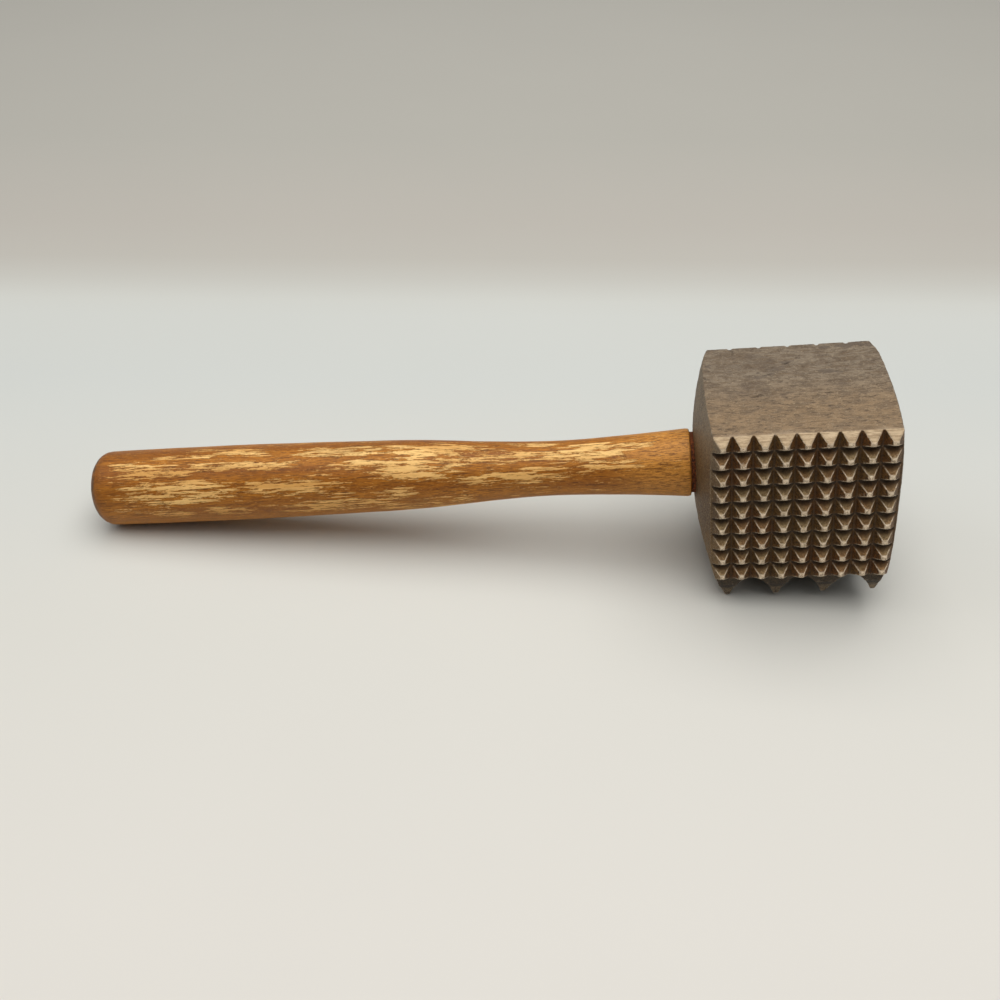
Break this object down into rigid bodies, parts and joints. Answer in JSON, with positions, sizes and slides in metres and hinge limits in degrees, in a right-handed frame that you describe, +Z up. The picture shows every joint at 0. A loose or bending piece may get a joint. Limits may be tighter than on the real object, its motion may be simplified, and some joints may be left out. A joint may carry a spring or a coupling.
{
  "type": "meat tenderizer",
  "caption": "Kitchen mallet with a square cast head, toothed and smooth striking faces, and a turned wooden handle wedged in its eye.",
  "frame": {"origin": "on the table under the middle of the mallet as it lies at rest, on the handle's butt and the coarse teeth nearest the handle", "axes": "+X along the handle from butt to head, +Y from the fine teeth to the medium teeth, +Z up from the table"},
  "size_m": [0.2762, 0.0628, 0.0724],
  "materials": {
    "cast_metal": "satin",
    "varnished_wood": "satin",
    "wedge_wood": "matte",
    "wedge_steel": "matte"
  },
  "bodies": {
    "root": {"head": "cast_metal", "handle": "varnished_wood", "wood_wedge": "wedge_wood", "steel_wedge": "wedge_steel"}
  },
  "joints": []
}
